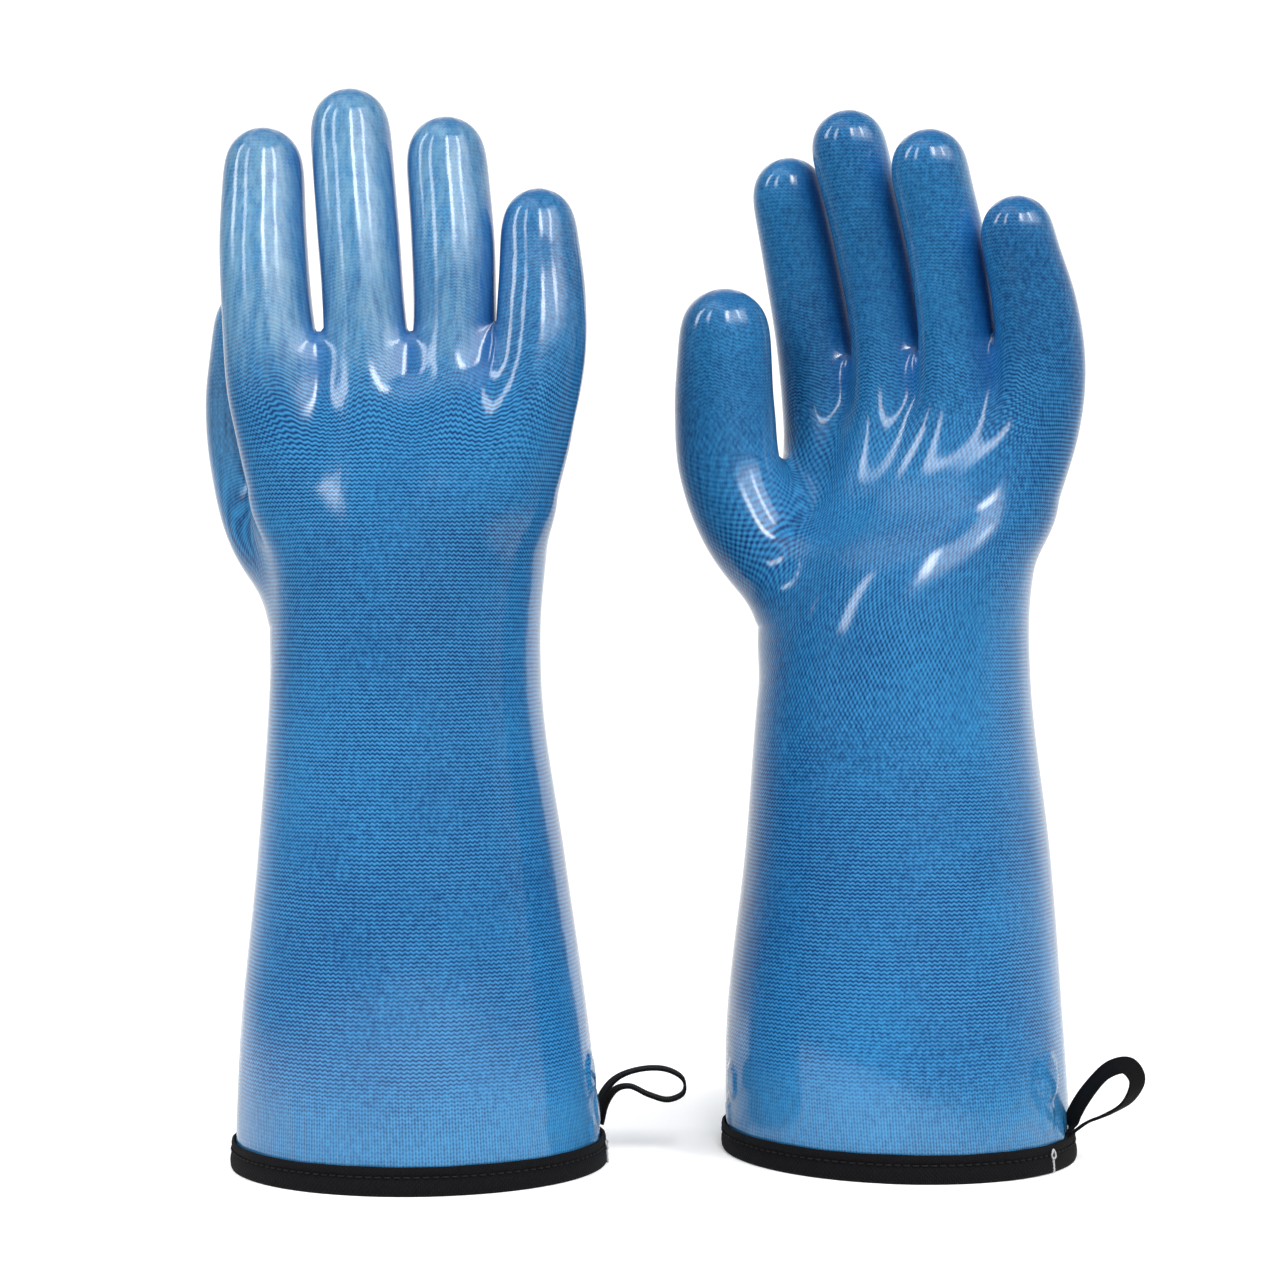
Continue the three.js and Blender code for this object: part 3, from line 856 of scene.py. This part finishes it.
def binding_profile(dip):
    """The folded tape's section as (outward, height) points: rolled top edge, stitched groove, round foot."""
    out, top, groove, back = BINDING["out"], BINDING["high"], STITCH_HEIGHT, -BINDING["back"]
    outside = [(0.35, top - 1.0), (0.55, top - 0.15), (out - 0.55, top + 0.1), (out + 0.05, top - 0.45),
               (out + 0.2, top - 1.4), (out + 0.1, groove + 1.1), (out - 0.25 - dip, groove + 0.35),
               (out - 0.3 - dip, groove - 0.2), (out - 0.05, groove - 1.0), (out + 0.3, groove - 2.4),
               (out + 0.38, 2.8), (out + 0.2, 1.2), (out - 0.2, 0.35), (out - 0.9, 0.02)]
    inside = [(back - 0.3, 0.02), (back - 1.0, 0.4), (back - 1.2, 1.2), (back - 1.2, top - 0.6),
              (back - 0.7, top), (back - 0.1, top - 0.6), (back, 2.0), (back + 0.5, 1.25), (-0.3, 1.25),
              (0.25, 1.8)]
    return outside + inside


def binding_piece(glove, made):
    """The black tape folded round the cuff's edge, pulled in at the stitches and a little uneven."""
    angles = np.arange(BINDING_STEPS) * 360 / BINDING_STEPS
    rows = []
    for angle in angles:
        turn = math.radians(angle)
        profile = np.array(binding_profile(0.12 + 0.22 * (math.cos(turn * STITCHES) * 0.5 + 0.5)))
        wobble = 0.08 * math.sin(turn * 9) + 0.05 * math.sin(turn * 23)
        out = profile[:, 0] + np.where(profile[:, 0] > 0.9, lap(angle) + wobble * (profile[:, 1] > 6), 0)
        rise = profile[:, 1] + np.where(profile[:, 1] > 8, wobble, 0)
        rows.append(cuff_line(np.full(len(out), angle), np.maximum(rise, 0), out))
    rows = np.array(rows)
    sides = rows.shape[1]
    points = rows.reshape(-1, 3)
    i, k = np.meshgrid(np.arange(BINDING_STEPS), np.arange(sides), indexing="ij")
    j, m = (i + 1) % BINDING_STEPS, (k + 1) % sides
    quads = np.stack([i * sides + k, i * sides + m, j * sides + m, j * sides + k], -1)
    obj = make_piece(f"{glove}_edge_binding", glove, points, quads.reshape(-1, 4).tolist(), None, made)
    turns = np.repeat(angles / 360, sides)
    length = np.tile(np.arange(sides) / BINDING_THREADS["points"], BINDING_STEPS)
    wrap_uv(obj.data, "weave", turns, BINDING_THREADS["round"], length)
    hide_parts(f"{glove}_cuff_binding")
    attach(obj, f"{glove}_cuff")


def tube(line, radius, sides):
    """A closed round tube along a line of points, narrower at its ends."""
    line = np.array(line, float)
    way = unit(np.gradient(line, axis=0))
    side = unit(np.cross(way, np.array([0.31, 0.17, 0.93])))
    up = np.cross(side, way)
    way_x, way_y = ways_round(sides).T[..., None]
    size = np.full(len(line), radius)
    size[[0, -1]] *= 0.45
    round_it = way_x * side[:, None] + way_y * up[:, None]
    rows = line[:, None] + size[:, None, None] * round_it
    points = np.concatenate([rows.reshape(-1, 3), line[:1], line[-1:]])
    faces = grid_faces(len(line), sides)
    first, last = len(points) - 2, (len(line) - 1) * sides
    faces += [[(k + 1) % sides, k, first] for k in range(sides)]
    faces += [[last + k, last + (k + 1) % sides, len(points) - 1] for k in range(sides)]
    return points, faces


def joined(parts):
    """One mesh of several."""
    points, faces, start = [], [], 0
    for p, f in parts:
        points.append(p)
        faces += [[i + start for i in face] for face in f]
        start += len(p)
    return np.concatenate(points), faces


def stitches_piece(glove, made):
    """A row of separate stitches lying in the binding's groove."""
    parts = []
    for s in range(STITCHES):
        angle = (s + 0.5) * 360 / STITCHES
        spread = np.linspace(-0.36, 0.36, 7) * 360 / STITCHES
        sink = np.array([0.55, 0.2, 0.02, 0, 0.02, 0.2, 0.55])
        out = BINDING["out"] + 0.12 + lap(angle) - sink
        parts.append(tube(cuff_line(angle + spread, np.full(7, STITCH_HEIGHT + 0.05), out), 0.3, 6))
    obj = make_piece(f"{glove}_binding_stitches", glove, *joined(parts), None, made)
    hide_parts(f"{glove}_binding_stitch")
    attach(obj, f"{glove}_cuff")


def tack_piece(glove, made):
    """Bar tack: a loose knot of grey thread at the groove and a line of close stitches down to the edge."""
    angle, out = TACK_ANGLE, BINDING["out"] + 0.55
    degree_mm = math.radians(FOREARM[0][3])  # mm round the cuff in a degree
    parts = []
    turns = np.linspace(0, 2.15 * math.pi, 26)
    line = cuff_line(angle + 1.15 * np.cos(turns) / degree_mm, STITCH_HEIGHT + 0.2 + 1.5 * np.sin(turns),
                     out + 0.25 + 0.2 * np.sin(2 * turns))
    parts.append(tube(line, 0.36, 8))
    for k in range(9):
        height = STITCH_HEIGHT - 1.6 - 0.55 * k
        lean = 0.25 * (-1) ** k
        across = np.linspace(-0.55, 0.55, 6)
        sink = 0.35 * (across / 0.55)**2
        turned = angle + (across + 0.05) / degree_mm
        parts.append(tube(cuff_line(turned, height + lean * across, out + 0.1 - sink), 0.25, 6))
    down = np.linspace(STITCH_HEIGHT - 1.2, 0.9, 14)
    parts.append(tube(cuff_line(np.full(14, angle), down, out + 0.12 * np.sin(down * 5)), 0.3, 8))
    obj = make_piece(f"{glove}_bar_tack_thread", glove, *joined(parts), None, made)
    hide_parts(f"{glove}_binding_bar_tack")
    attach(obj, f"{glove}_cuff")


# -------------------------------------------------------- hang loop
def between(t, t0, t1, a, b):
    return (t1 - t) / (t1 - t0) * a + (t - t0) / (t1 - t0) * b


def smooth_line(points, steps):
    """Centripetal Catmull-Rom line through the points."""
    p = np.array(points, float)
    p = np.concatenate([[2 * p[0] - p[1]], p, [2 * p[-1] - p[-2]]])
    knots = np.concatenate([[0], np.cumsum(np.linalg.norm(np.diff(p, axis=0), axis=1)**0.5)])
    made = []
    for i in range(1, len(p) - 2):
        t0, t1, t2, t3 = knots[i - 1:i + 3]
        for t in np.linspace(t1, t2, steps, endpoint=False):
            a1 = between(t, t0, t1, p[i - 1], p[i])
            a2 = between(t, t1, t2, p[i], p[i + 1])
            a3 = between(t, t2, t3, p[i + 1], p[i + 2])
            b1 = between(t, t0, t2, a1, a2)
            b2 = between(t, t1, t3, a2, a3)
            made.append(between(t, t1, t2, b1, b2))
    made.append(p[-2])
    return np.array(made)


def loop_piece(glove, made):
    """Flat woven tape, its width level, along a teardrop out from the binding's top edge."""
    g = GLOVES[glove]
    line = smooth_line(g["loop_path"], 8)
    along = unit(np.gradient(line, axis=0))
    face = np.stack([along[:, 1], -along[:, 0]], -1)
    root = cuff_line(np.array([float(g["loop_angle"])]), np.array([BINDING["high"]]), np.array([-0.55]))[0]
    turned = ramp(line[:, 0], *LOOP_TURN)
    way = np.radians(g["loop_angle"] + turned * (g["loop_heading"] - g["loop_angle"]))
    outward = np.stack([np.cos(way), np.sin(way), 0 * way], -1)
    across = np.stack([-np.sin(way), np.cos(way), 0 * way], -1)
    half, thick = TAPE["wide"] / 2, TAPE["thick"] / 2
    section = [(-half, 0.55), (-half + 0.25, 0.95), (-half + 0.8, 0.8), (-half * 0.4, 1), (0, 0.92),
               (half * 0.4, 1), (half - 0.8, 0.8), (half - 0.25, 0.95), (half, 0.55)]
    section += [(s, -t) for s, t in reversed(section)]
    up = np.array([0, 0, 1])
    centre = root + outward * line[:, :1] + up * line[:, 1:]
    square = outward * face[:, :1] + up * face[:, 1:]
    progress = np.linspace(0, 1, len(line))
    twist = np.radians(g["loop_twist"]) * ramp(progress, 0, 0.08) * (1 - ramp(progress, 0.3, 0.75))
    side = across * np.cos(twist)[:, None] + square * np.sin(twist)[:, None]
    proud = square * np.cos(twist)[:, None] - across * np.sin(twist)[:, None]
    rows = np.stack([centre + side * s + proud * (t * thick) for s, t in section], 1)
    sides = len(section)
    points = rows.reshape(-1, 3)
    faces = grid_faces(len(line), sides)
    last = (len(line) - 1) * sides
    faces += [list(range(sides))[::-1], [last + k for k in range(sides)]]
    obj = make_piece(f"{glove}_loop_tape", glove, points, faces, None, made)
    travelled = np.concatenate([[0], np.cumsum(np.linalg.norm(np.diff(line, axis=0), axis=1))])
    spread = np.array([s for s, _ in section])
    vertex, _ = face_corners(obj.data)
    u = spread[vertex % sides] / LOOP_THREADS[0]
    write_uv(obj.data, "weave", u, travelled[vertex // sides] / LOOP_THREADS[1])
    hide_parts(f"{glove}_hang_loop")
    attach(obj, f"{glove}_loop")


# -------------------------------------------------------- stage
def area_light(name, place, aim, size, power):
    """A rectangular light that doesn't show in reflections."""
    data = bpy.data.lights.new(name, "AREA")
    data.shape = "RECTANGLE"
    data.size, data.size_y = size
    data.energy = power
    obj = add_object(name, data)
    obj.location = place
    way = np.array(aim, float) - np.array(place, float)
    obj.rotation_euler = Vector(way).to_track_quat("-Z", "Y").to_euler()
    obj.visible_camera = False
    obj.visible_glossy = False


def window(n, value, edges):
    """1 between the two middle edges, fading to 0 at the outer ones."""
    start, full, fading, end = edges
    return n.times(n.range(value, start, full), n.range(value, fading, end, 1.0, 0.0))


def build_floor():
    """A round floor that fades out to the backdrop."""
    mesh = bpy.data.meshes.new("studio_floor")
    rim = [(x, y, 0) for x, y in (ways_round(FLOOR_SIDES) * FLOOR_RADIUS).tolist()]
    mesh.from_pydata(rim, [], [list(range(FLOOR_SIDES))])
    floor = add_object("studio_floor", mesh)
    made, n, shader = material("studio_floor", Roughness=0.9, Specular_IOR_Level=0.0)
    shader.inputs["Base Color"].default_value = FLOOR_TONE
    place = n.add("ShaderNodeNewGeometry", output="Position")
    reach = n.add("ShaderNodeVectorMath", {0: place}, output="Value", operation="LENGTH")
    n.link(n.range(reach, *FLOOR_FADE, 1.0, 0.0), shader.inputs["Alpha"])
    seen = n.add("ShaderNodeLightPath", output="Is Camera Ray")
    shader.inputs["Emission Color"].default_value = WHITE
    n.link(n.times(seen, FLOOR_GLOW), shader.inputs["Emission Strength"])
    mesh.materials.append(made)


def build_room():
    """The backdrop for the camera, and for everything else a room with glows, plus the two lights."""
    world = bpy.data.worlds.new("studio")
    bpy.context.scene.world = world
    world.use_nodes = True
    tree = world.node_tree
    background = tree.nodes["Background"]
    background.inputs["Color"].default_value = WHITE
    lit = Nodes(tree)
    to_camera = lit.add("ShaderNodeLightPath", output="Is Camera Ray")
    x, y, z = lit.parts(lit.add("ShaderNodeTexCoord", output="Generated"), 3)
    azimuth = lit.math("DEGREES", lit.math("ARCTAN2", x, lit.times(y, -1.0)))
    elevation = lit.math("DEGREES", lit.math("ARCSINE", z))
    brightness = lit.range(y, *WALL_RISE, *ROOM)
    for across, up, power in GLOWS.values():
        glow = lit.times(window(lit, azimuth, across), window(lit, elevation, up))
        brightness = lit.math("MULTIPLY_ADD", glow, power, brightness)
    shown = lit.times(to_camera, BACKDROP)
    unseen = lit.times(lit.rest_of(to_camera), brightness)
    lit.link(lit.plus(shown, unseen), background.inputs["Strength"])
    for light in LIGHTS:
        area_light(*light)


def build_camera():
    data = bpy.data.cameras.new("camera")
    data.lens = CAMERA["lens"]
    data.sensor_width = CAMERA["sensor"]
    data.clip_start, data.clip_end = CAMERA["clip"]
    obj = add_object("camera", data)
    obj.location = CAMERA["place"]
    obj.rotation_euler = (math.pi / 2 - CAMERA["pitch"], 0, 0)
    bpy.context.scene.camera = obj


# -------------------------------------------------------- build
build_camera()
bpy.context.scene.view_settings.view_transform = "Standard"
knit = knit_material()
fleece = fleece_material()
black_tape = tape_material("black_tape", TAPE_TONE)
loop_tape = tape_material("black_loop_tape", TAPE_TONE)
black_thread = thread_material("black_thread", THREAD_TONES["black"])
grey_thread = thread_material("grey_thread", THREAD_TONES["grey"])

shell_skins = {"cuff": cuff_skin(FINE), "hand": hand_skin(HAND_LATTICE)}
lining_skins = {"cuff": cuff_skin(COARSE), "hand": shell_skins["hand"]}
for digit_name in DIGITS:
    shell_skins[digit_name] = digit_skin(digit_name, FINE)
    lining_skins[digit_name] = digit_skin(digit_name, COARSE)

covered = {"cuff": ["cuff_shell", "wrist_crease"], "hand": ["hand_shell"]}
for side in GLOVES:
    for part, skin in shell_skins.items():
        hidden = covered.get(part, [f"{part}_shell", f"{part}_crease"])
        build_skin(side, part, skin, (0, SHELL_WALL), "knit", knit, hidden)
        build_skin(side, part, lining_skins[part], LINING, "fleece", fleece,
                   [f"{part}_lining"])
    binding_piece(side, black_tape)
    stitches_piece(side, black_thread)
    tack_piece(side, grey_thread)
    loop_piece(side, loop_tape)

build_floor()
build_room()
